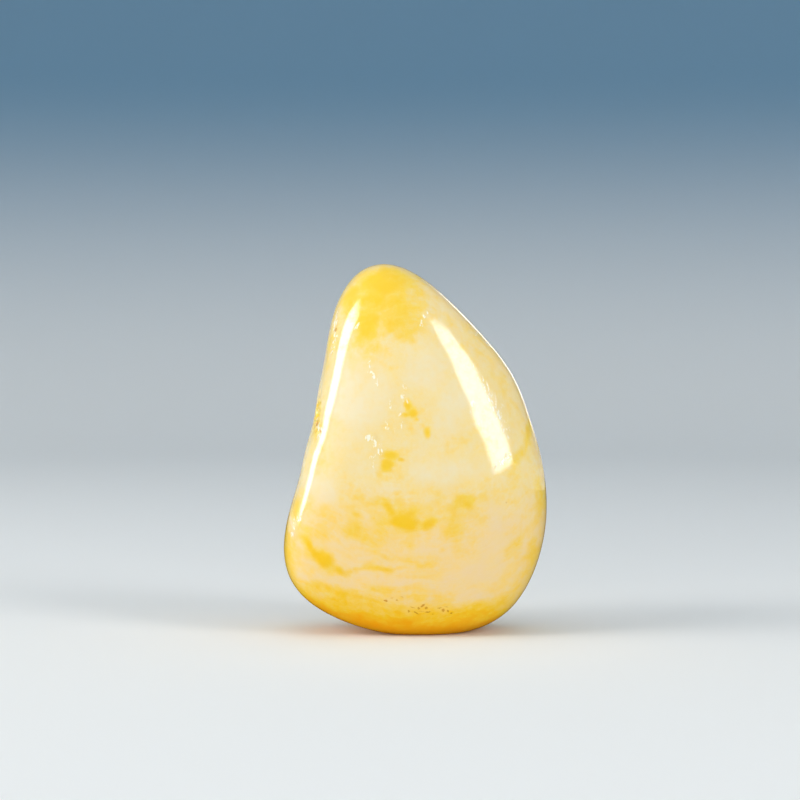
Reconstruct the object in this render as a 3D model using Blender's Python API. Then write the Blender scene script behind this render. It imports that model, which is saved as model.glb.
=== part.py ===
"""Raw jade pebble: one water-worn stone, standing upright on its broad end.

The stone is a single solid. A ball is drawn out until its rim follows the pebble's outline
in the XZ plane, as seen from the front (-Y). The front and the back swell out from that rim
by their own depths, and a small worn flat is cut where the stone stands.

Metres, +Z up. The middle of the stone's box is at X = 0 and Y = 0, and its foot is at Z = 0.
"""

from math import pi

import bmesh
import bpy
import numpy as np
from mathutils import Vector

MM = 0.001

# Outline, seen from the front.
HEART_X = -2.0 * MM      # inner point that the outline is measured from
HEART_Z = 21.9 * MM      # its height over the lowest point of the unworn outline
RIM_REACH = (            # heart to rim in mm, every 15 degrees, anticlockwise from +X
    17.3, 16.6, 16.9, 17.3, 18.2, 20.2,
    22.8, 21.9, 16.8, 13.2, 11.5, 10.9,
    11.3, 12.5, 15.5, 19.3, 21.0, 21.4,
    22.0, 22.8, 23.6, 22.5, 20.5, 18.7,
)

# Front and back faces.
FRONT_DEPTH = 9.7 * MM   # how far the front swells out at the heart
BACK_DEPTH = 9.5 * MM    # the same for the back
FRONT_SQUARENESS = (     # 2 is a plain oval section, more is a fuller one; every 30 degrees
    2.6, 2.4, 2.7, 2.8, 3.0, 4.0,
    4.5, 4.1, 3.8, 5.0, 3.4, 2.6,
)
BACK_SQUARENESS = 3.2
SPAN = 22.5 * MM         # height over or below the heart at which the next values hold
TOP_THINNING = 0.08      # share of the depth lost one span up, and gained one span down
END_THINNING = 0.21      # share of the depth lost towards both ends
FRONT_LEAN = -0.04       # slope of the front towards the viewer with height
FRONT_TURN = 0.02        # slope of the front away from the viewer towards +X
FRONT_BOW = 0.27 * MM    # how far the front draws back towards both ends

# Foot.
FOOT_HEIGHT = 0.2 * MM   # height of the worn flat over the heart's datum

# Mesh.
BALL_SUBDIVISIONS = 5

JADE_COLOUR = (0.90, 0.72, 0.33, 1.0)
JADE_ROUGHNESS = 0.18


def remove_all_objects():
    """Empty the scene."""
    for item in list(bpy.data.objects):
        bpy.data.objects.remove(item, do_unlink=True)


def round_curve(stations, angle):
    """Smooth closed curve through equally spaced stations: a sum of whole waves in one turn."""
    waves = np.fft.rfft(stations) / len(stations)
    waves[1:-1] *= 2
    turns = np.multiply.outer(angle, np.arange(len(waves)))
    return (waves * np.exp(1j * turns)).real.sum(axis=-1)


def pebble_point(direction):
    """Places on the unworn stone for unit directions from its heart.

    The angle round the rim and the angle from the front pole to the back pole come from the
    direction. A superellipse joins pole and rim: its reach along the rim's radius is scaled
    by the outline, its reach along Y by the front's or the back's depth.
    """
    round_rim = np.arctan2(direction[:, 2], direction[:, 0])
    from_front = np.arccos(np.clip(-direction[:, 1], -1.0, 1.0))
    half = (1 + np.cos(from_front)) / 2
    front_share = half * half * (3 - 2 * half)
    back_share = 1 - front_share

    squareness = round_curve(FRONT_SQUARENESS, round_rim) * front_share
    squareness += BACK_SQUARENESS * back_share
    along_rim = np.sin(from_front)
    along_depth = np.cos(from_front)
    swell = np.abs(along_rim) ** squareness + np.abs(along_depth) ** squareness
    swell = swell ** (-1 / squareness)

    reach = round_curve(RIM_REACH, round_rim) * MM * along_rim * swell
    place_x = HEART_X + reach * np.cos(round_rim)
    over_heart = reach * np.sin(round_rim)
    spans = over_heart / SPAN
    depth = FRONT_DEPTH * front_share + BACK_DEPTH * back_share
    depth *= 1 - TOP_THINNING * spans - END_THINNING * spans ** 2
    set_back = FRONT_LEAN * over_heart + FRONT_TURN * (place_x - HEART_X) + FRONT_BOW * spans ** 2
    place_y = -depth * along_depth * swell + set_back * front_share
    return np.stack([place_x, place_y, HEART_Z + over_heart], axis=-1)


def draw_out_ball(bm):
    """A ball whose vertices are moved out to the stone's surface."""
    bmesh.ops.create_icosphere(bm, subdivisions=BALL_SUBDIVISIONS, radius=1.0)
    direction = np.array([vert.co[:] for vert in bm.verts])
    direction /= np.linalg.norm(direction, axis=1, keepdims=True)
    for vert, place in zip(bm.verts, pebble_point(direction)):
        vert.co = place


def wear_foot(bm):
    """Cut the lowest sliver off level and close the cut with one flat face."""
    bmesh.ops.bisect_plane(
        bm,
        geom=bm.verts[:] + bm.edges[:] + bm.faces[:],
        dist=1e-7,
        plane_co=(0, 0, FOOT_HEIGHT),
        plane_no=(0, 0, -1),
        clear_outer=True,
    )
    rim = [edge for edge in bm.edges if edge.is_boundary]
    bmesh.ops.contextual_create(bm, geom=rim)
    bmesh.ops.recalc_face_normals(bm, faces=bm.faces[:])


def stand_on_origin(bm):
    """Bring the middle of the box over the origin and the foot down to it."""
    places = np.array([vert.co[:] for vert in bm.verts])
    low, high = places.min(axis=0), places.max(axis=0)
    middle = (low + high) / 2
    bmesh.ops.translate(bm, verts=bm.verts[:], vec=-Vector((middle[0], middle[1], low[2])))


def jade():
    """Waxy cream and honey-yellow jade."""
    material = bpy.data.materials.new("jade")
    material.use_nodes = True
    shader = material.node_tree.nodes["Principled BSDF"]
    shader.inputs["Base Color"].default_value = JADE_COLOUR
    shader.inputs["Roughness"].default_value = JADE_ROUGHNESS
    shader.inputs["Metallic"].default_value = 0.0
    return material


def pebble():
    """The whole stone as one closed solid."""
    bm = bmesh.new()
    draw_out_ball(bm)
    wear_foot(bm)
    stand_on_origin(bm)
    mesh = bpy.data.meshes.new("pebble")
    bm.to_mesh(mesh)
    bm.free()
    mesh.materials.append(jade())
    mesh.shade_smooth()
    mesh.set_sharp_from_angle(angle=pi / 6)
    stone = bpy.data.objects.new("pebble", mesh)
    bpy.context.scene.collection.objects.link(stone)
    return stone


remove_all_objects()
pebble()
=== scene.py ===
"""Raw jade pebble: the polished surface, its honey clouds and scars, and a plain studio.

The stone is one mesh that stands for the node "pebble". Its form is a ball drawn out to an
outline in the XZ plane, with soft ripples, hollows and chips worked into it. Its colour is
pale, milky jade with clouds of honey. The clouds are worked out at the vertices and kept as
mesh attributes, which the shader tears at their edges with noise.
"""

from math import cos, pi, radians, sin

import bpy
import numpy as np
from bpy.props import FloatProperty, FloatVectorProperty, IntProperty, PointerProperty
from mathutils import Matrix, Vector


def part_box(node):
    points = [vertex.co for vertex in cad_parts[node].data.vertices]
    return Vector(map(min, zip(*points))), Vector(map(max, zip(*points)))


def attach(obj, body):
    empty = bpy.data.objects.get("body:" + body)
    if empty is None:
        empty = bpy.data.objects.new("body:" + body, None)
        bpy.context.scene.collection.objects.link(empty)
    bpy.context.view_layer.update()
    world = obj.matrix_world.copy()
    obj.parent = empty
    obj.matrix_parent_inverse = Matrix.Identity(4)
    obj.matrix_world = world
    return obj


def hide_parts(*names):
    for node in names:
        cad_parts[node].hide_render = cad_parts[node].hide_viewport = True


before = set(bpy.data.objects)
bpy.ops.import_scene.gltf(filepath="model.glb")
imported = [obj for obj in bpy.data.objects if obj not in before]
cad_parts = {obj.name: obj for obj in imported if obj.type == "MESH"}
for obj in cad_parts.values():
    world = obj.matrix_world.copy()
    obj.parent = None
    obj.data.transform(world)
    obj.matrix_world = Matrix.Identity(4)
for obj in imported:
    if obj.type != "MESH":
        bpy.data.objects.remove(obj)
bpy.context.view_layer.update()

bl_info = {
    "name": "Raw jade pebble",
    "version": (1, 0, 0),
    "blender": (4, 5, 0),
    "location": "3D View > Sidebar > Pebble",
    "description": "Makes a polished raw jade pebble and a plain studio round it",
    "category": "Add Mesh",
}

NODE = "pebble"
MM = 0.001
BOX_LOW, BOX_HIGH = (Vector(corner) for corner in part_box(NODE))

# How far a cloud reaches past its half sizes before it has faded out.
CLOUD_EDGE = 1.8

BLACK = (0.0, 0.0, 0.0)

# How yellow each tone of the jade is.
MILK, CREAM, PALE_HONEY, HONEY, AMBER = 0.0, 0.35, 0.62, 0.85, 1.0


# ------------------------------------------------------------------ places on the stone
# Places are in mm from the middle of the foot: across (+X), depth (+Y, away) and height (+Z).

# Honey clouds: place, half sizes across and up, turn in degrees, strength.
HONEY_CLOUDS = (
    ((-3.7, -5.1, 42.2), (4.3, 2.6), 0, 1.1),          # crown
    ((-7.6, -4.8, 40.8), (1.1, 1.9), -15, 1),          # crown, left shoulder
    ((-5.7, -7.0, 38.0), (1.8, 2.6), -8, 1.05),        # crown, lower lobe
    ((-4.9, -6.1, 40.3), (3.6, 2.4), 0, 1),
    ((-2.3, -6.4, 39.9), (3.6, 3.1), 0, 0.9),          # crown, right
    ((-1.6, -7.3, 37.5), (3.3, 2.4), 0, 0.8),          # veil under the crown
    ((-0.5, -6.0, 40.0), (1.5, 1.3), 0, 0.7),
    ((-5.4, -8.0, 35.2), (2.1, 0.95), -10, 0.5),
    ((-1.8, -8.4, 34.2), (3.1, 0.94), 10, 0.25),
    ((-0.4, -9.4, 25.3), (2.6, 2.6), -20, 0.25),       # veil round the freckles
    ((-2.3, -9.6, 19.4), (2.4, 2.1), -20, 0.35),
    ((4.1, -9.1, 22.9), (4.7, 0.82), 5, 0.15),
    ((-2.9, -9.4, 15.8), (1.8, 0.83), -40, 1.1),       # belt, middle
    ((-4.4, -9.5, 16.8), (1.9, 0.71), -10, 0.55),
    ((-1.3, -9.3, 14.5), (2.0, 1.3), -18, 1.4),
    ((1.0, -9.2, 14.0), (1.7, 1.1), 0, 1.15),
    ((-5.1, -9.5, 16.3), (2.4, 0.94), -12, 0.5),       # belt, left
    ((-7.0, -9.2, 13.1), (2.6, 1.4), -10, 0.7),
    ((-3.9, -9.2, 13.1), (1.9, 1.2), -14, 0.75),
    ((-10.8, -8.9, 13.7), (2.8, 1.1), -3, 0.45),
    ((4.3, -8.8, 13.2), (2.8, 1.8), -22, 0.75),        # belt, right
    ((2.9, -9.1, 15.1), (3.1, 1.2), -10, 0.55),
    ((5.7, -8.8, 16.4), (1.5, 1.1), 12, 0.85),
    ((8.1, -8.4, 17.2), (1.9, 0.71), 25, 0.55),
    ((2.9, -9.2, 16.9), (3.1, 0.59), 12, 0.35),
    ((-1.3, -9.3, 14.3), (9.9, 3.3), -3, 0.62),        # veil round the belt
    ((-0.4, -7.7, 5.1), (5.2, 0.95), 4, 0.42),         # veil over the foot
    ((-12.6, -8.1, 11.2), (0.83, 1.4), 25, 1.1),       # lower left tongue
    ((-11.1, -8.2, 9.8), (2.0, 0.83), -38, 1.25),
    ((-8.9, -8.3, 8.6), (1.2, 0.48), -30, 0.95),
    ((-4.7, -8.6, 8.6), (4.7, 0.42), 3, 0.85),         # thin lines under the belt
    ((0.1, -8.7, 9.4), (3.6, 0.41), -12, 0.7),
    ((-5.1, -8.9, 10.6), (3.1, 0.41), -14, 0.55),
    ((1.7, -8.8, 11.1), (2.4, 0.41), -10, 0.4),
    ((-1.8, -8.4, 7.4), (5.2, 0.59), 2, 0.35),
    ((13.5, -3.9, 24.7), (0.6, 2.6), -14, 1.05),       # right flank
    ((12.0, -6.6, 21.3), (2.6, 0.6), 60, 0.65),
    ((8.8, -8.3, 19.1), (2.4, 0.59), 40, 0.45),
    ((10.9, -4.0, 31.0), (0.96, 2.6), 15, 0.25),
    ((7.0, -5.1, 35.0), (0.96, 2.2), 30, 0.3),
    ((15.0, -4.2, 16.4), (0.84, 3.6), 2, 0.8),         # right rim
    ((14.2, -3.7, 9.7), (1.2, 3.1), -14, 0.75),
    ((12.0, -6.0, 11.2), (0.72, 1.9), -10, 0.6),
    ((11.8, -6.9, 16.0), (0.95, 4.1), 10, 0.35),
    ((-14.5, -6.3, 15.6), (0.96, 2.4), -15, 0.85),     # left rim
    ((-15.6, -4.6, 10.6), (1.4, 4.6), 4, 0.95),
    ((-11.7, -5.6, 26.3), (0.6, 2.4), -12, 0.95),      # round the notch
    ((-10.0, -4.2, 36.7), (0.6, 4.1), -12, 0.4),       # left shoulder
    ((-8.4, -7.4, 5.6), (6.7, 0.84), -12, 0.8),        # over the foot
    ((-1.8, -8.0, 6.0), (6.0, 0.95), 0, 0.6),
    ((8.9, -5.3, 4.1), (6.0, 0.72), 14, 0.6),
)

# Small honey freckles with firmer edges: the same values.
FRECKLES = (
    ((-0.9, -9.3, 27.9), (0.59, 0.82), 0, 1.05),       # upper freckle
    ((-0.3, -9.4, 27.0), (0.82, 0.82), -20, 1.05),
    ((-1.1, -9.4, 26.9), (0.65, 0.47), 0, 0.9),
    ((0.1, -9.4, 26.4), (0.53, 0.35), -20, 0.8),
    ((-0.7, -9.3, 28.1), (1.2, 1.2), 30, 0.3),
    ((0.8, -9.3, 25.6), (0.59, 0.24), -40, 0.45),
    ((1.4, -9.3, 24.7), (0.53, 0.76), 0, 1),           # small freckle
    ((-2.9, -9.6, 22.1), (1.3, 0.71), 0, 1),           # lower freckle
    ((-1.8, -9.6, 21.6), (0.53, 0.35), -10, 0.8),
    ((-3.3, -9.6, 20.9), (1.1, 0.94), 25, 1),
    ((-4.3, -9.6, 19.9), (0.53, 0.82), 35, 0.6),
    ((-3.5, -9.6, 22.9), (0.94, 0.59), 0, 0.35),
    ((-3.7, -9.6, 18.3), (0.71, 0.71), 0, 0.35),
    ((-2.3, -9.5, 17.7), (0.82, 0.35), 0, 0.5),
    ((-7.6, -3.8, 41.9), (0.72, 0.48), 30, 0.6),       # darker spots in the crown
    ((-7.7, -5.3, 40.0), (0.36, 0.95), 0, 0.6),
)

# Milky clouds, which thin the yellow: the same values.
MILK_CLOUDS = (
    ((-7.5, -8.9, 28.8), (3.1, 4.7), 8, 1),
    ((-4.9, -9.3, 28.8), (2.6, 4.0), 8, 0.8),
    ((-9.1, -9.3, 24.1), (2.6, 3.3), 10, 0.6),
    ((-11.0, -9.1, 17.7), (2.6, 2.0), -10, 0.95),
    ((-7.7, -9.6, 21.3), (3.3, 2.6), 0, 0.45),
    ((3.1, -9.3, 20.2), (5.9, 1.8), 4, 0.85),
    ((1.3, -8.4, 32.3), (3.8, 4.0), -20, 0.8),
    ((4.3, -8.6, 27.9), (2.6, 4.0), -22, 0.9),
    ((-2.3, -9.3, 29.0), (2.4, 3.1), 0, 0.45),
    ((1.7, -9.3, 23.9), (3.1, 1.9), 0, 0.4),
    ((-10.1, -8.7, 11.1), (2.1, 0.59), -20, 0.5),
    ((7.4, -7.3, 8.0), (4.1, 1.7), 0, 0.55),
    ((7.5, -6.4, 4.9), (2.9, 1.1), -14, 0.75),
    ((9.5, -7.4, 12.4), (1.1, 5.2), 4, 0.6),
    ((-1.8, -8.2, 6.8), (7.1, 0.48), 0, 0.3),
    ((4.4, -2.7, 39.7), (2.7, 1.2), -50, 0.5),
    ((9.6, -6.6, 27.3), (1.2, 4.8), 25, 0.45),
    ((1.7, -9.3, 16.8), (3.5, 0.47), 10, 0.35),
    ((-8.3, -9.4, 15.5), (3.5, 0.47), 6, 0.4),
    ((-0.6, -9.0, 11.9), (2.8, 0.47), -14, 0.4),
    ((-7.7, -8.6, 9.6), (2.1, 0.47), -30, 0.35),
)

# Broad hollows of the polished face: place, half sizes, turn in degrees, depth in mm.
HOLLOWS = (
    ((9.8, -6.2, 31.0), (3.0, 5.0), 25, 0.20),         # right flank
    ((-11.9, -7.9, 25.2), (0.8, 1.6), 0, 0.05),        # beside the notch
)

# Chips deep enough to break the outline: place, half sizes, turn in degrees, depth in mm.
CHIPS = (
    ((-11.7, -6.6, 26.6), (0.3, 2.2), -4, 0.16),       # notch in the left flank
    ((-4.7, -9.6, 23.8), (0.5, 0.7), 25, 0.03),        # over the lower freckle
    ((-9.7, -5.2, 36.5), (0.3, 2.0), -10, 0.04),       # left shoulder
)

# Unpolished spots, whitened in part as painted glints: place, half sizes, turn in degrees,
# strength.
SCARS = (
    ((-5.5, -8.6, 32.5), (0.19, 0.59), -5, 1),         # over the heart
    ((-5.0, -8.8, 31.8), (0.21, 0.71), 25, 1),
    ((-4.6, -9.0, 30.9), (0.19, 0.82), 28, 1),
    ((-1.3, -9.1, 30.0), (0.19, 0.59), 10, 0.9),       # over the upper freckle
    ((-1.3, -9.3, 28.8), (0.26, 0.59), 35, 0.9),
    ((-2.9, -9.4, 28.1), (0.19, 0.71), -15, 0.7),
    ((-1.7, -9.4, 27.0), (0.19, 0.47), 10, 0.8),
    ((-1.6, -9.5, 25.7), (0.19, 0.47), 20, 0.8),
    ((-3.5, -9.5, 25.9), (0.24, 0.59), -15, 0.8),
    ((-3.1, -9.5, 25.0), (0.71, 0.35), 0, 0.4),
    ((-5.4, -9.6, 24.1), (0.47, 0.35), 0, 1),          # over the lower freckle
    ((-4.6, -9.6, 23.5), (0.41, 0.59), 15, 1),
    ((-4.2, -9.6, 22.5), (0.29, 0.35), 0, 1),
    ((-4.9, -9.7, 21.9), (0.41, 0.47), 0, 0.7),
    ((-5.1, -9.7, 20.9), (0.24, 0.47), 0, 0.5),
    ((1.1, -6.3, 38.4), (0.19, 0.71), -35, 0.7),       # beside the crown
    ((0.7, -6.9, 37.4), (0.24, 0.36), 0, 0.6),
    ((-6.9, -7.0, 37.1), (0.14, 0.59), -40, 0.8),
    ((-9.3, -4.4, 38.7), (0.16, 0.6), -10, 1),         # left shoulder
    ((-9.6, -4.6, 37.5), (0.16, 0.72), -12, 1),
    ((-9.6, -5.4, 36.0), (0.24, 0.6), 0, 0.7),
    ((-9.7, -5.8, 35.1), (0.19, 0.72), -8, 1),
    ((-9.9, -5.8, 34.1), (0.19, 0.6), -8, 0.8),
    ((-11.6, -5.7, 26.5), (0.19, 1.2), -8, 1),         # round the notch
    ((-11.4, -7.4, 25.2), (0.21, 0.71), 20, 1),
    ((-11.5, -7.7, 24.3), (0.21, 0.36), 0, 1),
    ((8.3, -6.6, 30.1), (0.3, 1.2), 25, 0.8),          # right flank
    ((9.0, -6.7, 28.2), (0.36, 1.1), 22, 0.9),
    ((9.8, -6.6, 26.8), (0.36, 0.95), 20, 0.9),
    ((10.3, -6.8, 24.9), (0.24, 0.71), 10, 0.6),
    ((11.0, -6.4, 24.6), (0.18, 0.6), 10, 0.9),
    ((7.1, -6.5, 32.0), (0.24, 1.7), 25, 0.3),
    ((6.7, -7.9, 27.9), (0.59, 0.95), 0, 0.3),
    ((10.1, -6.3, 27.3), (0.95, 2.4), 20, 0.25),
    ((7.6, -7.9, 25.5), (0.71, 1.7), 0, 0.15),
    ((10.0, -7.7, 21.0), (0.26, 0.95), -50, 1),        # scratch under the right flank
    ((10.9, -7.2, 21.6), (0.26, 0.71), -30, 1),
    ((-14.4, -7.1, 13.5), (0.18, 1.2), -10, 0.8),      # left rim
    ((-14.7, -6.8, 12.3), (0.24, 0.48), 0, 1),
    ((-13.8, -7.7, 14.5), (0.18, 0.59), -10, 0.8),
    ((8.9, -1.6, 35.2), (0.36, 0.61), -40, 1),         # right rim
    ((7.5, -2.5, 36.5), (0.24, 0.72), -40, 0.8),
)

# Specks of soil in scratches near the foot: place, half sizes, turn in degrees, strength.
SPECKS = (
    ((-3.5, -7.6, 4.6), (0.26, 0.14), -15, 1),
    ((-2.8, -7.7, 5.0), (0.3, 0.08), 15, 0.5),
    ((-2.2, -7.6, 4.7), (0.14, 0.12), 0, 0.8),
    ((-1.6, -7.8, 5.1), (0.3, 0.08), -10, 0.5),
    ((-0.8, -7.1, 3.3), (0.14, 0.19), 0, 0.9),
    ((-0.3, -7.3, 3.8), (0.42, 0.1), -25, 0.6),
    ((0.1, -6.9, 3.1), (0.36, 0.11), -30, 0.9),
    ((0.4, -7.2, 3.7), (0.14, 0.14), 0, 0.9),
    ((0.9, -7.3, 4.0), (0.31, 0.11), 30, 1),
    ((1.3, -7.2, 3.7), (0.19, 0.14), 0, 1),
    ((1.5, -6.9, 3.2), (0.42, 0.11), 10, 0.8),
    ((0.7, -7.0, 3.3), (0.54, 0.07), -8, 0.5),
    ((2.1, -6.7, 2.9), (0.14, 0.12), 0, 0.6),
    ((2.9, -7.0, 3.7), (0.36, 0.1), 8, 0.6),
    ((3.3, -6.8, 3.4), (0.17, 0.22), 0, 1),
    ((3.9, -6.7, 3.3), (0.12, 0.22), 15, 0.9),
    ((4.3, -6.4, 3.0), (0.17, 0.12), 0, 0.8),
    ((3.7, -6.9, 3.8), (0.3, 0.07), -15, 0.6),
    ((10.8, -7.4, 16.3), (0.14, 0.14), 0, 0.45),
    ((-9.5, -5.3, 36.8), (0.17, 0.26), -15, 0.9),
    ((-11.7, -6.4, 25.6), (0.14, 0.48), -10, 0.8),
    ((-11.2, -7.9, 24.8), (0.14, 0.36), 20, 0.6),
)


# ------------------------------------------------------------------ sizes and colours
class PebbleForm(bpy.types.PropertyGroup):
    """The stone's form and relief."""

    heart_across: FloatProperty(
        name="Heart across", description="Inner point that the outline is measured from",
        default=-2.0 * MM, unit="LENGTH")
    heart_height: FloatProperty(
        name="Heart height", description="Its height over the unworn outline's lowest point",
        default=21.9 * MM, unit="LENGTH")
    rim_reach: FloatVectorProperty(
        name="Rim reach", description="Heart to rim, every 15 degrees from +X, anticlockwise",
        size=24, unit="LENGTH",
        default=[reach * MM for reach in (
            17.3, 16.6, 16.9, 17.3, 18.2, 20.2, 22.8, 21.9, 16.8, 13.2, 11.5, 10.9,
            11.3, 12.5, 15.5, 19.3, 21.0, 21.4, 22.0, 22.8, 23.6, 22.5, 20.5, 18.7)])
    front_depth: FloatProperty(
        name="Front depth", description="How far the front swells out at the heart",
        default=9.7 * MM, unit="LENGTH")
    back_depth: FloatProperty(
        name="Back depth", description="How far the back swells out at the heart",
        default=9.5 * MM, unit="LENGTH")
    front_squareness: FloatVectorProperty(
        name="Front squareness", description="Fullness of the front's section, every 30 degrees",
        size=12, default=(2.6, 2.4, 2.7, 2.8, 3.0, 4.0, 4.5, 4.1, 3.8, 5.0, 3.4, 2.6))
    back_squareness: FloatProperty(
        name="Back squareness", description="Fullness of the back's section", default=3.2)
    span: FloatProperty(
        name="Span", description="Height from the heart at which the thinning holds",
        default=22.5 * MM, unit="LENGTH")
    top_thinning: FloatProperty(
        name="Top thinning", description="Share of the depth lost one span up", default=0.08)
    end_thinning: FloatProperty(
        name="End thinning", description="Share of the depth lost at both ends", default=0.21)
    front_lean: FloatProperty(
        name="Front lean", description="Slope of the front with height", default=-0.04)
    front_turn: FloatProperty(
        name="Front turn", description="Slope of the front across", default=0.02)
    front_bow: FloatProperty(
        name="Front bow", description="How far the front draws back towards both ends",
        default=0.27 * MM, unit="LENGTH")
    foot_height: FloatProperty(
        name="Foot height", description="Height of the worn flat over the outline's datum",
        default=0.2 * MM, unit="LENGTH")
    columns: IntProperty(
        name="Columns", description="Quads round the stone", default=320)
    rows: IntProperty(
        name="Rows", description="Quads from foot to crown", default=310)


class PebbleFinish(bpy.types.PropertyGroup):
    """The jade's colours and polish."""

    milk: FloatVectorProperty(
        name="Milk", description="Whitest jade", subtype="COLOR", size=3,
        default=(0.87, 0.755, 0.51))
    cream: FloatVectorProperty(
        name="Cream", description="Common jade of the body", subtype="COLOR", size=3,
        default=(0.90, 0.715, 0.345))
    pale_honey: FloatVectorProperty(
        name="Pale honey", description="Jade veiled with yellow", subtype="COLOR", size=3,
        default=(0.965, 0.67, 0.14))
    honey: FloatVectorProperty(
        name="Honey", description="Yellow clouds", subtype="COLOR", size=3,
        default=(0.98, 0.60, 0.016))
    # Amber: the foot's warm staining, partly painted glow of warm light through the stone and from
    # below.
    amber: FloatVectorProperty(
        name="Amber", description="Warm stain round the foot", subtype="COLOR", size=3,
        default=(0.98, 0.44, 0.008))
    # Frost: whitish flecks of skin left without polish, partly painted glints of the lamps.
    frost_and_glint: FloatVectorProperty(
        name="Frost", description="Unpolished flecks", subtype="COLOR", size=3,
        default=(0.99, 0.95, 0.88))
    # Painted shade: a darker, pinker colour laid over the lower half for less light from above and
    # warm light bounced from below.
    lower_shade: FloatVectorProperty(
        name="Blush", description="Pinker tone of the lower half", subtype="COLOR", size=3,
        default=(0.87, 0.55, 0.36))
    glow: FloatVectorProperty(
        name="Glow", description="Light that comes through the thin rim", subtype="COLOR",
        size=3, default=(1.0, 0.57, 0.14))
    soil: FloatVectorProperty(
        name="Soil", description="Specks of soil in scratches", subtype="COLOR", size=3,
        default=(0.62, 0.27, 0.02))
    polish: FloatProperty(
        name="Polish", description="Roughness of the waxed skin", default=0.10)
    scatter: FloatProperty(
        name="Scatter", description="How far light travels in the jade",
        default=2.5 * MM, unit="LENGTH")


class PebbleStudio(bpy.types.PropertyGroup):
    """The floor, the lights and the camera."""

    floor_colour: FloatVectorProperty(
        name="Floor", description="Paint of the floor", subtype="COLOR", size=3,
        default=(0.88, 0.87, 0.84))
    wall_colour: FloatVectorProperty(
        name="Wall", description="Paint of the wall", subtype="COLOR", size=3,
        default=(0.20, 0.34, 0.46))
    camera_distance: FloatProperty(
        name="Camera distance", description="From the camera to the middle of the stone",
        default=271 * MM, unit="LENGTH")
    camera_height: FloatProperty(
        name="Camera elevation", description="Angle of the camera over the stone's middle",
        default=radians(3.46), subtype="ANGLE")


# ------------------------------------------------------------------ shader maths
def add_node(tree, kind, settings=None, inputs=None, output=0):
    """Adds a node: settings first, then values or links of its sockets; gives one output.

    Sockets are named by their identifiers, or by their places in the list.
    """
    node = tree.nodes.new(kind)
    for name, value in (settings or {}).items():
        setattr(node, name, value)
    for name, value in (inputs or {}).items():
        socket = node.inputs[name] if isinstance(name, int) else next(
            one for one in node.inputs if one.identifier == name)
        if isinstance(value, Signal):
            tree.links.new(value.socket, socket)
        else:
            socket.default_value = value
    socket = node.outputs[output] if isinstance(output, int) else next(
        one for one in node.outputs if one.identifier == output)
    return Signal(tree, socket)


class Signal:
    """What a socket gives: a number, vector or colour.

    On numbers, each operator adds a Math node and gives its result.
    """

    def __init__(self, tree, socket):
        self.tree = tree
        self.socket = socket

    def maths(self, operation, *terms, clamp=False):
        """One Math node on these terms."""
        settings = {"operation": operation, "use_clamp": clamp}
        return add_node(self.tree, "ShaderNodeMath", settings, dict(enumerate(terms)))

    def __add__(self, other):
        return self.maths("ADD", self, other)

    def __sub__(self, other):
        return self.maths("SUBTRACT", self, other)

    def __mul__(self, other):
        return self.maths("MULTIPLY", self, other)

    def __rsub__(self, other):
        return self.maths("SUBTRACT", other, self)

    __radd__ = __add__
    __rmul__ = __mul__

    def held(self):
        """Kept between 0 and 1."""
        return self.maths("ADD", self, 0.0, clamp=True)

    def ramp(self, start, end):
        """0 at start, 1 at end, with a soft S between."""
        return add_node(
            self.tree, "ShaderNodeMapRange", {"interpolation_type": "SMOOTHSTEP"},
            {"Value": self, "From Min": start, "From Max": end})


def either(first, second):
    """Union of two masks: one minus the product of what each leaves out."""
    return 1 - (1 - first) * (1 - second)


def blended(tree, mask, under, over):
    """The colour under where the mask is 0 and the colour over where it is 1."""
    return add_node(
        tree, "ShaderNodeMix", {"data_type": "RGBA"},
        {"Factor_Float": mask, "A_Color": under, "B_Color": over}, "Result_Color")


def vector_maths(tree, operation, *terms):
    """One Vector Math node on these terms."""
    return add_node(
        tree, "ShaderNodeVectorMath", {"operation": operation}, dict(enumerate(terms)))


def length(tree, vector):
    """How long a vector is."""
    return add_node(
        tree, "ShaderNodeVectorMath", {"operation": "LENGTH"}, {"Vector": vector}, "Value")


def coordinates(tree, vector):
    """The X, Y and Z of a vector."""
    node = add_node(tree, "ShaderNodeSeparateXYZ", None, {"Vector": vector}).socket.node
    return [Signal(tree, socket) for socket in node.outputs]


def scaled(tree, vector, factor):
    """A vector times a number."""
    return add_node(
        tree, "ShaderNodeVectorMath", {"operation": "SCALE"}, {"Vector": vector, "Scale": factor})


def noise(tree, place, per_mm, detail=2.0, roughness=0.5, output="Fac"):
    """Cloud noise with this many bumps per mm."""
    return add_node(
        tree, "ShaderNodeTexNoise", None,
        {"Vector": place, "Scale": per_mm, "Detail": detail, "Roughness": roughness}, output)


def cloud(tree, place, centre, half_sizes, turn):
    """Mask of a soft ellipsoid: 1 in its middle, 0 from the clouds' edge on.

    The place is first brought into the ellipsoid's frame, where its surface is at distance 1.
    """
    inside = add_node(
        tree, "ShaderNodeMapping", {"vector_type": "TEXTURE"},
        {"Vector": place, "Location": centre, "Rotation": (0.0, -radians(turn), 0.0),
         "Scale": half_sizes})
    return length(tree, inside).ramp(CLOUD_EDGE, 0.0)


def rgba(colour):
    """A colour with full alpha."""
    return (*colour, 1.0)


# ------------------------------------------------------------------ the stone's surface
def round_curve(stations, angle):
    """Smooth closed curve through equally spaced stations: a sum of whole waves in one turn."""
    waves = np.fft.rfft(stations) / len(stations)
    waves[1:-1] *= 2
    turns = np.multiply.outer(angle, np.arange(len(waves)))
    return (waves * np.exp(1j * turns)).real.sum(axis=-1)


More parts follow.
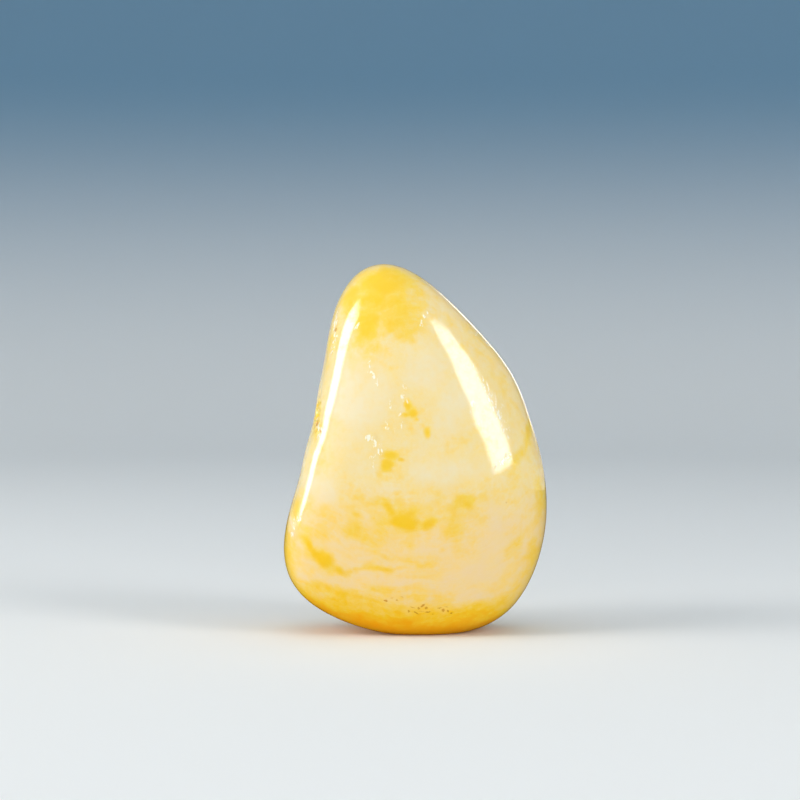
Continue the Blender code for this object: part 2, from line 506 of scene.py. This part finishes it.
def unworn_stone(form, direction):
    """Places on the unworn stone for unit directions from its heart.

    The angle round the rim is the direction's angle in the XZ plane, and the angle from the
    front pole is its angle from -Y. A superellipse joins pole and rim: its reach along the
    rim's radius is scaled by the outline, its reach along Y by the front's or back's depth.
    """
    round_rim = np.arctan2(direction[..., 2], direction[..., 0])
    from_front = np.arccos(np.clip(-direction[..., 1], -1.0, 1.0))
    half = (1 + np.cos(from_front)) / 2
    front_share = half * half * (3 - 2 * half)
    back_share = 1 - front_share

    squareness = round_curve(form.front_squareness, round_rim) * front_share
    squareness += form.back_squareness * back_share
    along_rim = np.sin(from_front)
    along_depth = np.cos(from_front)
    swell = np.abs(along_rim) ** squareness + np.abs(along_depth) ** squareness
    swell = swell ** (-1 / squareness)

    reach = round_curve(form.rim_reach, round_rim) * along_rim * swell
    from_heart = reach * np.cos(round_rim)
    over_heart = reach * np.sin(round_rim)
    spans = over_heart / form.span
    depth = form.front_depth * front_share + form.back_depth * back_share
    depth *= 1 - form.top_thinning * spans - form.end_thinning * spans ** 2
    set_back = form.front_lean * over_heart + form.front_turn * from_heart
    set_back += form.front_bow * spans ** 2
    place_y = -depth * along_depth * swell + set_back * front_share
    return np.stack(
        [form.heart_across + from_heart, place_y, form.heart_height + over_heart], axis=-1)


def longitudes(columns):
    """Angles round Z from the front, closer together on the front than on the back."""
    crowding = 0.4
    turn = np.linspace(-pi, pi, columns, endpoint=False)
    return turn - crowding * np.sin(turn)


def directions(longitude, latitude):
    """Unit directions: the front is -Y, the latitude rises to +Z."""
    across = np.cos(latitude) * np.sin(longitude)
    away = -np.cos(latitude) * np.cos(longitude)
    return np.stack([across, away, np.sin(latitude)], axis=-1)


def outward_normals(grid):
    """Unit normals of a grid that closes along its first axis, by central differences."""
    round_step = np.roll(grid, -1, axis=0) - np.roll(grid, 1, axis=0)
    up_step = np.gradient(grid, axis=1)
    normal = np.cross(round_step, up_step)
    return normal / np.linalg.norm(normal, axis=-1, keepdims=True)


def ripples(place, wavelength, height, seed):
    """Soft random relief: many plane waves of about one length in random directions.

    Their phases are random, and their sum is scaled so that its typical height is given.
    """
    count = 40
    draw = np.random.default_rng(seed)
    direction = draw.normal(size=(count, 3))
    direction /= np.linalg.norm(direction, axis=1, keepdims=True)
    wavelengths = wavelength * draw.uniform(0.7, 1.6, count)
    phases = draw.uniform(0, 2 * pi, count)
    total = np.zeros(place.shape[:-1])
    for heading, spacing, phase in zip(direction, wavelengths, phases):
        total += np.sin(place @ heading * (2 * pi / spacing) + phase)
    return height * total / np.sqrt(count / 2)


def stretched(place, centre, half_sizes, turn, depth_reach):
    """Squared distance from a centre in half sizes of an ellipsoid turned about Y."""
    away = place - np.array(centre)
    angle = radians(turn)
    along = away[..., 0] * cos(angle) + away[..., 2] * sin(angle)
    across = -away[..., 0] * sin(angle) + away[..., 2] * cos(angle)
    return ((along / half_sizes[0]) ** 2 + (across / half_sizes[1]) ** 2
            + (away[..., 1] / depth_reach) ** 2)


def dent(place, centre, half_sizes, turn, depth):
    """A smooth hollow in mm: the depth times a bell of the distance from its centre."""
    return -depth * np.exp(-stretched(place, centre, half_sizes, turn, 3 * max(half_sizes)))


def relief(place):
    """Height of ripples, hollows and chips over the unworn stone, in mm, at places in mm."""
    height = ripples(place, 11.0, 0.030, seed=3)
    height += ripples(place, 3.0, 0.0035, seed=8)
    roughness = 1 + 0.9 * ripples(place, 0.9, 1.0, seed=21)
    for centre, half_sizes, turn, depth in HOLLOWS:
        height += dent(place, centre, half_sizes, turn, depth)
    for centre, half_sizes, turn, depth in CHIPS:
        height += dent(place, centre, half_sizes, turn, depth) * roughness
    return height


def wander(place, wavelength, height, seed):
    """Places moved about by soft random relief of their own along each axis."""
    moved = [ripples(place, wavelength, height, seed + axis) for axis in range(3)]
    return place + np.stack(moved, axis=-1)


def cover(place, clouds, depth_reach):
    """The strongest of many soft ellipsoids at each place.

    Each falls along a soft S from its strength at its middle to 0 at the clouds' edge. The
    depth reach is its half size from front to back.
    """
    most = np.zeros(place.shape[:-1])
    for centre, half_sizes, turn, strength in clouds:
        distance = np.sqrt(stretched(place, centre, half_sizes, turn, depth_reach))
        share = np.clip(1 - distance / CLOUD_EDGE, 0, 1)
        most = np.maximum(most, strength * share ** 2 * (3 - 2 * share))
    return most


def markings(place):
    """How strong each kind of marking is at places in mm."""
    close = wander(place, 1.2, 0.05, seed=31)
    far = wander(close, 4.0, 0.18, seed=41)
    return {
        "milk": cover(far, MILK_CLOUDS, depth_reach=7.0),
        "honey": cover(far, HONEY_CLOUDS, depth_reach=7.0),
        "freckles": cover(close, FRECKLES, depth_reach=3.0),
        "scars": cover(wander(place, 0.8, 0.04, seed=51), SCARS, depth_reach=1.6),
    }


def settled(height):
    """Heights with all that lies under 0 brought up to it, along a small round."""
    softness = 0.05 * MM
    return (height + np.sqrt(height ** 2 + softness ** 2)) / 2


def stone_vertices(form):
    """The stone's vertices: columns by rows of a closed grid, then the lower and upper pole."""
    latitude = np.linspace(-pi / 2, pi / 2, form.rows + 1)[1:-1]
    longitude = longitudes(form.columns)
    grid_longitude, grid_latitude = np.meshgrid(longitude, latitude, indexing="ij")
    grid = unworn_stone(form, directions(grid_longitude, grid_latitude))
    poles = unworn_stone(form, np.array([[0.0, 0.0, -1.0], [0.0, 0.0, 1.0]]))
    normals = outward_normals(grid)
    places = np.concatenate([grid.reshape(-1, 3), poles])
    outward = np.concatenate([normals.reshape(-1, 3), [[0.0, 0.0, -1.0], [0.0, 0.0, 1.0]]])

    low, high = places.min(axis=0), places.max(axis=0)
    box_middle = (np.array(BOX_LOW) + np.array(BOX_HIGH)) / 2
    shift = box_middle - (low + high) / 2
    shift[2] = BOX_LOW[2] - form.foot_height
    places += shift
    places += outward * relief(places / MM)[:, None] * MM
    places[:, 2] = settled(places[:, 2] - BOX_LOW[2]) + BOX_LOW[2]
    return places


def closed_faces(columns, rings):
    """Quads between the rings of a closed grid, and a fan of triangles round each pole."""
    column = np.arange(columns)
    following = (column + 1) % columns
    ring = np.arange(rings - 1)
    first = (column[:, None] * rings + ring).ravel()
    second = (following[:, None] * rings + ring).ravel()
    quads = np.stack([first, second, second + 1, first + 1], axis=1)
    lower_pole, upper_pole = columns * rings, columns * rings + 1
    lower = np.stack(
        [np.full(columns, lower_pole), following * rings, column * rings], axis=1)
    upper = np.stack(
        [column * rings + rings - 1, following * rings + rings - 1,
         np.full(columns, upper_pole)], axis=1)
    return quads.tolist() + lower.tolist() + upper.tolist()


# ------------------------------------------------------------------ jade
def strayed(tree, place, per_mm, reach):
    """The place moved about by noise, so that soft shapes get torn edges."""
    cloudy = noise(tree, place, per_mm, detail=3.0, roughness=0.6, output="Color")
    offset = scaled(tree, vector_maths(tree, "SUBTRACT", cloudy, (0.5, 0.5, 0.5)), reach)
    return vector_maths(tree, "ADD", place, offset)


def soil(tree, place):
    """The strongest of the specks at each place."""
    depth_reach = 1.5
    most = None
    for centre, half_sizes, turn, strength in SPECKS:
        sizes = (half_sizes[0], depth_reach, half_sizes[1])
        speck = cloud(tree, place, centre, sizes, turn) * strength
        most = speck if most is None else most.maths("MAXIMUM", most, speck)
    return most.ramp(0.2, 0.7)


def marking(tree, name):
    """How strong a kind of marking is, from the mesh."""
    return add_node(tree, "ShaderNodeAttribute", {"attribute_name": name}, output="Fac")


def wisps(tree, place):
    """Noise drawn out along arcs round the stone's upper middle.

    It changes fast with the distance from there and slowly along the arcs.
    """
    upper_middle = (0.0, 0.0, 28.0)
    across_arcs, bending = 5.0, 12.0
    away = vector_maths(tree, "SUBTRACT", place, upper_middle)
    distance = length(tree, vector_maths(tree, "MULTIPLY", away, (1.0, 0.0, 1.0)))
    bend = noise(tree, place, per_mm=0.25)
    return add_node(
        tree, "ShaderNodeTexNoise", {"noise_dimensions": "4D"},
        {"Vector": place, "W": distance * across_arcs + bend * bending, "Scale": 0.16,
         "Detail": 5.0, "Roughness": 0.6})


def yellowness(tree, place, low, streaks, grain):
    """How yellow the jade is: the body's tone, then honey clouds, freckles and the foot's amber.

    The body drifts slowly, is paler in milky clouds, and is mottled by grain and streaks. It
    is calmer on the upper right flank. The amber climbs from the foot, higher to the left: it is
    partly staining of the skin and partly painted glow of warm light through the stone and from
    below.
    """
    across, _, height = coordinates(tree, place)
    grain, streaks = grain - 0.5, streaks - 0.5
    drift = noise(tree, place, per_mm=0.16) - 0.5
    spots = noise(tree, place, per_mm=1.3) - 0.5
    torn = grain * 0.7 + streaks * 0.6

    milk = (marking(tree, "milk") + torn).ramp(0.1, 1.1)
    calm = across.ramp(3.0, 9.0) * height.ramp(16.0, 22.0)
    body = CREAM + low * 0.05 + drift * 0.3 - milk * 0.32
    body = body + grain * (0.85 - low * 0.25 - calm * 0.35)
    body = body + streaks * (0.3 + low * 0.5) + spots * (0.3 - low * 0.15)

    honey = (marking(tree, "honey") + torn).ramp(0.05, 1.15)
    freckles = (marking(tree, "freckles") + torn * 0.7).ramp(0.15, 1.0)
    ripe = 0.77 + low * 0.08
    body = body + (ripe - body) * either(honey, freckles)

    # Painted glow and staining: amber that climbs from the foot, higher to the left.
    leftward = across.maths("MINIMUM", across, 0.0)
    stain_and_glow_top = 3.2 + leftward * leftward * 0.014
    stain_and_glow = (stain_and_glow_top - height + grain * 2.0 + streaks * 3.0).ramp(-2.8, 2.8)
    return (body + (AMBER - body) * stain_and_glow).held()


def jade_colour(tree, finish, yellow):
    """Milk, cream, honey and amber in turn as the yellowness rises."""
    colour = rgba(finish.milk)
    steps = ((MILK, CREAM, finish.cream), (CREAM, PALE_HONEY, finish.pale_honey),
             (PALE_HONEY, HONEY, finish.honey), (HONEY, AMBER, finish.amber))
    for start, end, following in steps:
        share = add_node(
            tree, "ShaderNodeMapRange", None, {"Value": yellow, "From Min": start, "From Max": end})
        colour = blended(tree, share, colour, rgba(following))
    return colour


def flecks(tree, place, share):
    """Short upright flecks where the skin was left without polish, denser where the share is high;
    whitened, they also stand as painted glints.
    """
    drawn_out = vector_maths(tree, "MULTIPLY", place, (1.0, 1.0, 0.45))
    spots = noise(tree, drawn_out, per_mm=3.4, roughness=0.6)
    return (spots + share * 0.14).ramp(0.58, 0.68) * share.ramp(0.05, 0.4)


def jade_material(finish):
    """Milky jade with honey clouds, an amber foot, frosted flecks, soil and a waxed skin; with
    painted glow at the foot and rim, painted glints on the flecks and painted shade low down.
    """
    material = bpy.data.materials.new("jade")
    material.use_nodes = True
    tree = material.node_tree
    shader = tree.nodes["Principled BSDF"]

    object_place = add_node(tree, "ShaderNodeTexCoord", output="Object")
    place = scaled(tree, object_place, 1 / MM)
    _, depth, height = coordinates(tree, place)
    low_from, low_full = 20.0, 12.0
    rim_from, rim_full = 7.0, 1.0
    low = height.ramp(low_from, low_full)
    rim = depth.maths("ABSOLUTE", depth).ramp(rim_from, rim_full)
    grain = noise(tree, place, per_mm=0.7, detail=6.0, roughness=0.62)
    fine = noise(tree, place, per_mm=5.0, detail=3.0, roughness=0.6)
    unpolished_and_glints = flecks(tree, place, marking(tree, "scars"))
    dirt = soil(tree, strayed(tree, place, per_mm=2.5, reach=0.3))

    yellow = yellowness(tree, place, low, wisps(tree, place), grain)
    pale = 1.0 - yellow
    body = jade_colour(tree, finish, yellow)
    most_lower_shade, most_frost_and_glint = 0.33, 0.75
    # Painted shade on the pale jade of the lower half.
    body = blended(tree, low * pale * most_lower_shade, body, rgba(finish.lower_shade))
    # Painted glow: the pale jade near the thin rim tinted with the colour of light that comes
    # through it.
    body = blended(tree, rim * pale * (grain - 0.2), body, rgba(finish.glow))
    # Painted glints: flecks whitened, partly the skin's own whitening and partly the lamps'
    # sparkle.
    body = blended(tree, unpolished_and_glints * most_frost_and_glint, body, rgba(finish.frost_and_glint))
    body = blended(tree, dirt * (0.3 + fine * 0.8), body, rgba(finish.soil))
    # Painted glow: a faint emission at the thin rim for light that comes through it.
    glow = blended(tree, rim, rgba(BLACK), rgba(finish.glow))
    roughness = finish.polish + dirt * 0.1 + (grain - 0.5) * 0.04
    relief_mm = noise(tree, place, per_mm=1.4) * 0.004 - unpolished_and_glints * 0.02
    bump = add_node(
        tree, "ShaderNodeBump", None, {"Strength": 1.0, "Distance": MM, "Height": relief_mm})

    linked = {"Base Color": body, "Emission Color": glow, "Roughness": roughness, "Normal": bump}
    for name, signal in linked.items():
        tree.links.new(signal.socket, shader.inputs[name])
    even = {
        "Emission Strength": 0.05, "Subsurface Weight": 1.0,
        "Subsurface Radius": (1.0, 1.0, 1.0), "Subsurface Scale": finish.scatter,
        "IOR": 1.61, "Specular IOR Level": 0.8,
    }
    for name, value in even.items():
        shader.inputs[name].default_value = value
    return material


# ------------------------------------------------------------------ operators
class PEBBLE_OT_stone(bpy.types.Operator):
    """Make the polished stone in place of its plain solid"""

    bl_idname = "pebble.stone"
    bl_label = "Stone"

    def execute(self, context):
        form = context.scene.pebble_form
        vertices = stone_vertices(form)
        mesh = bpy.data.meshes.new("pebble_surface")
        mesh.from_pydata(vertices, [], closed_faces(form.columns, form.rows - 1))
        mesh.shade_smooth()
        for name, strength in markings(vertices / MM).items():
            mesh.attributes.new(name, "FLOAT", "POINT").data.foreach_set("value", strength)
        stone = bpy.data.objects.new("pebble_surface", mesh)
        context.scene.collection.objects.link(stone)

        mesh.materials.append(jade_material(context.scene.pebble_finish))
        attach(stone, "root")
        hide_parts(NODE)
        return {"FINISHED"}


class PEBBLE_OT_studio(bpy.types.Operator):
    """Make the floor, the lights and the camera"""

    bl_idname = "pebble.studio"
    bl_label = "Studio"

    def execute(self, context):
        studio = context.scene.pebble_studio
        make_floor(studio)
        make_lights()
        make_world()
        make_camera(studio)
        context.scene.view_settings.view_transform = "Standard"
        return {"FINISHED"}


# ------------------------------------------------------------------ studio
def turned(name, radius, height, start, end, columns):
    """A smooth surface: a profile of radii and heights turned round Z from start to end.

    A full turn is closed along its seam, and by a flat face inside its first ring.
    """
    full = np.isclose(end - start, 2 * pi)
    around = np.linspace(start, end, columns, endpoint=not full)
    vertices = np.stack([
        np.outer(np.cos(around), radius), np.outer(np.sin(around), radius),
        np.outer(np.ones_like(around), height)], axis=-1).reshape(-1, 3)
    rings = len(radius)
    column = np.arange(columns if full else columns - 1)
    ring = np.arange(rings - 1)
    first = (column[:, None] * rings + ring).ravel()
    second = (((column + 1) % columns)[:, None] * rings + ring).ravel()
    faces = np.stack([second, first, first + 1, second + 1], axis=1).tolist()
    if full:
        faces.append((column * rings).tolist())
    mesh = bpy.data.meshes.new(name)
    mesh.from_pydata(vertices, [], faces)
    mesh.shade_smooth()
    piece = bpy.data.objects.new(name, mesh)
    bpy.context.scene.collection.objects.link(piece)
    return piece


def studio_paint(studio):
    """Pale on the floor and darker up the wall."""
    material = bpy.data.materials.new("studio_paint")
    material.use_nodes = True
    tree = material.node_tree
    shader = tree.nodes["Principled BSDF"]
    wall_from = 0.15
    _, _, height = coordinates(tree, add_node(tree, "ShaderNodeTexCoord", output="Object"))
    paint = blended(
        tree, height.ramp(0.0, wall_from), rgba(studio.floor_colour), rgba(studio.wall_colour))
    tree.links.new(paint.socket, shader.inputs["Base Color"])
    shader.inputs["Roughness"].default_value = 0.8
    shader.inputs["Specular IOR Level"].default_value = 0.0
    return material


def make_floor(studio):
    """A round floor that sweeps up into a wall. Only the wall behind shows in the polish."""
    flat, sweep, top = 0.35, 0.6, 1.6
    bend = np.linspace(0, pi / 2, 40)
    radius = np.append(flat + sweep * np.sin(bend), flat + sweep)
    height = np.append(sweep * (1 - np.cos(bend)), top)
    disc = np.array([0.05, 0.15, flat])
    disc_columns, wall_columns = 128, 65
    paint = studio_paint(studio)
    pieces = [
        turned("floor", disc, np.zeros(len(disc)), 0.0, 2 * pi, disc_columns),
        turned("wall_front", radius, height, pi, 2 * pi, wall_columns),
        turned("wall_back", radius, height, 0.0, pi, wall_columns),
    ]
    for piece in pieces:
        piece.data.materials.append(paint)
        piece.visible_glossy = piece.name == "wall_back"


def make_lamp(name, place, aim, width, height, radiance, fades=(0.1, 0.1, 0.1, 0.1), roll=0.0,
              slant=0.0):
    """A flat lamp that faces its aim and fades at its sides, over shares of its width and height.

    The fades are those of its left, right, lower and upper side as it is seen from its aim.
    The slant is how much of its height the lower end climbs from left to right.
    """
    light = bpy.data.lights.new(name, "AREA")
    light.shape = "RECTANGLE"
    light.size = width
    light.size_y = height
    light.energy = radiance * pi * width * height
    light.use_nodes = True
    tree = light.node_tree
    emission = tree.nodes["Emission"]
    spot = add_node(tree, "ShaderNodeNewGeometry", output="Parametric")
    across, up, _ = coordinates(tree, spot)
    left, right, low, high = fades
    strength = across.ramp(0.0, left) * (1 - across).ramp(0.0, right)
    strength = strength * (up - across * slant).ramp(0.0, low) * (1 - up).ramp(0.0, high)
    tree.links.new(strength.socket, emission.inputs["Strength"])
    lamp = bpy.data.objects.new(name, light)
    bpy.context.scene.collection.objects.link(lamp)
    lamp.location = place
    facing = (Vector(place) - Vector(aim)).to_track_quat("Z", "Y")
    lamp.rotation_euler = facing.to_euler()
    lamp.rotation_euler.rotate_axis("Z", roll)
    lamp.visible_camera = False
    return lamp


def lamp_place(azimuth, distance, height):
    """A place round the stone: azimuth 0 is in front (-Y), 90 is at +X."""
    angle = radians(azimuth)
    return (distance * sin(angle), -distance * cos(angle), height)


def make_lights():
    """Two tall strips at the front left and right, a rim lamp behind and a low fill in front.

    The rim lamp only shows in the polish, and the fill only lights the body.
    """
    def strip(name, azimuth, top, width, radiance, roll, fades, slant=0.0):
        """A tall lamp that stands on the floor and faces the stone's axis."""
        distance, middle = 0.4, top / 2
        make_lamp(
            name, lamp_place(azimuth, distance, middle), lamp_place(azimuth, 0.0, middle),
            width, top / cos(roll), radiance, fades, roll, slant)

    strip("strip_left", azimuth=-71.5, top=0.50, width=0.175, radiance=6.3,
          roll=radians(-34), fades=(0.12, 0.10, 0.1, 0.25))
    strip("strip_right", azimuth=54.8, top=0.48, width=0.18, radiance=5.4,
          roll=radians(-7), fades=(0.12, 0.20, 0.08, 0.25), slant=0.18)
    rim = make_lamp(
        "rim", lamp_place(162, 0.55, 0.12), aim=(0, 0, 0.03), width=0.07, height=0.24,
        radiance=3.0)
    rim.visible_diffuse = False
    fill = make_lamp(
        "fill", place=(-0.10, -0.45, 0.045), aim=(0, 0, 0.015), width=0.5, height=0.085,
        radiance=7.6)
    fill.visible_glossy = False


def make_world():
    """An even pale sky that doesn't show in the polish."""
    world = bpy.data.worlds.new("studio")
    bpy.context.scene.world = world
    world.use_nodes = True
    background = world.node_tree.nodes["Background"]
    background.inputs["Color"].default_value = (1.0, 0.98, 0.95, 1.0)
    background.inputs["Strength"].default_value = 1.25
    world.cycles_visibility.glossy = False


def make_camera(studio):
    """A long lens in front of the stone, a little above its middle.

    It aims past the stone's middle, by a number of pixels to the left and up.
    """
    lens, sensor, picture_width = 100, 36, 800
    pixels_left, pixels_up = 14.5, 47.5
    middle = Vector((-0.0001, 0.0001, 22.4 * MM))
    angle = studio.camera_height
    camera = bpy.data.cameras.new("camera")
    camera.lens = lens
    camera.sensor_width = sensor
    camera.clip_start = 0.01
    camera.clip_end = 10
    view = bpy.data.objects.new("camera", camera)
    bpy.context.scene.collection.objects.link(view)
    view.location = middle + studio.camera_distance * Vector((0, -cos(angle), sin(angle)))
    pixel = studio.camera_distance * sensor / lens / picture_width
    aim = middle + Vector((-pixels_left * pixel, 0, pixels_up * pixel))
    view.rotation_euler = (aim - view.location).to_track_quat("-Z", "Y").to_euler()
    bpy.context.scene.camera = view


# ------------------------------------------------------------------ panel and registration
class PEBBLE_PT_panel(bpy.types.Panel):
    """Lists the pebble's operators and values"""

    bl_idname = "PEBBLE_PT_panel"
    bl_label = "Raw jade pebble"
    bl_space_type = "VIEW_3D"
    bl_region_type = "UI"
    bl_category = "Pebble"

    def draw(self, context):
        column = self.layout.column()
        for operator in OPERATORS:
            column.operator(operator.bl_idname)
        for group in GROUPS:
            values = getattr(context.scene, group)
            for name in values.bl_rna.properties.keys():
                if name not in {"rna_type", "name"}:
                    column.prop(values, name)


GROUPS = {"pebble_form": PebbleForm, "pebble_finish": PebbleFinish, "pebble_studio": PebbleStudio}
OPERATORS = (PEBBLE_OT_studio, PEBBLE_OT_stone)
CLASSES = (*GROUPS.values(), *OPERATORS, PEBBLE_PT_panel)


def register():
    """Makes the classes and the scene's values known."""
    for one in CLASSES:
        bpy.utils.register_class(one)
    for name, group in GROUPS.items():
        setattr(bpy.types.Scene, name, PointerProperty(type=group))


def unregister():
    """Takes back all that register made known."""
    for name in GROUPS:
        delattr(bpy.types.Scene, name)
    for one in reversed(CLASSES):
        bpy.utils.unregister_class(one)


def main():
    """Makes the studio and the stone."""
    register()
    bpy.ops.pebble.studio()
    bpy.ops.pebble.stone()


if __name__ == "__main__":
    main()
